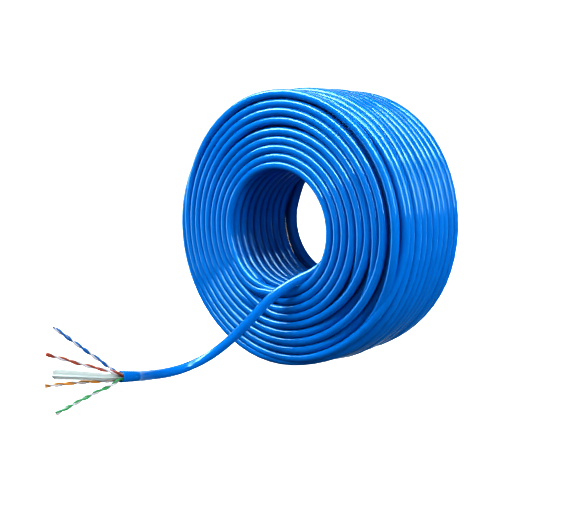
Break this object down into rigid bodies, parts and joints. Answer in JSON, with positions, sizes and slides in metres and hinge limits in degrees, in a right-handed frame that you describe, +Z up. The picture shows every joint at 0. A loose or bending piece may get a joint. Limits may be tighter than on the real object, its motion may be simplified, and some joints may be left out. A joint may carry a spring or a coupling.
{
  "type": "network cable coil",
  "caption": "Coil of blue twisted-pair network cable standing on its rim, its free end led out of the bore and stripped to show the pairs.",
  "frame": {"origin": "on the floor under the middle of the coil, on the flattened underside", "axes": "+Z up, Y along the coil's axis, the stripped free end towards -Y"},
  "size_m": [0.1824, 0.2159, 0.1816],
  "materials": {
    "jacket": "glossy PVC, ribbed only by its own turns",
    "separator": "translucent natural polyethylene",
    "wire_blue": "smooth polyethylene insulation",
    "wire_brown": "smooth polyethylene insulation",
    "wire_orange": "smooth polyethylene insulation",
    "wire_green": "smooth polyethylene insulation",
    "wire_white_blue": "white insulation with a thin blue stripe",
    "wire_white_brown": "white insulation with a thin brown stripe",
    "wire_white_orange": "white insulation with a thin orange stripe",
    "wire_white_green": "white insulation with a thin green stripe",
    "copper": "bare drawn copper, cut ends only"
  },
  "bodies": {
    "root": {"cable_winding": "jacket", "cable_outer_end": "jacket", "cable_free_end": "jacket", "pair_separator": "separator", "blue_insulation": "wire_blue", "blue_copper": "copper", "white_blue_insulation": "wire_white_blue", "white_blue_copper": "copper", "brown_insulation": "wire_brown", "brown_copper": "copper", "white_brown_insulation": "wire_white_brown", "white_brown_copper": "copper", "orange_insulation": "wire_orange", "orange_copper": "copper", "white_orange_insulation": "wire_white_orange", "white_orange_copper": "copper", "green_insulation": "wire_green", "green_copper": "copper", "white_green_insulation": "wire_white_green", "white_green_copper": "copper"}
  },
  "joints": []
}
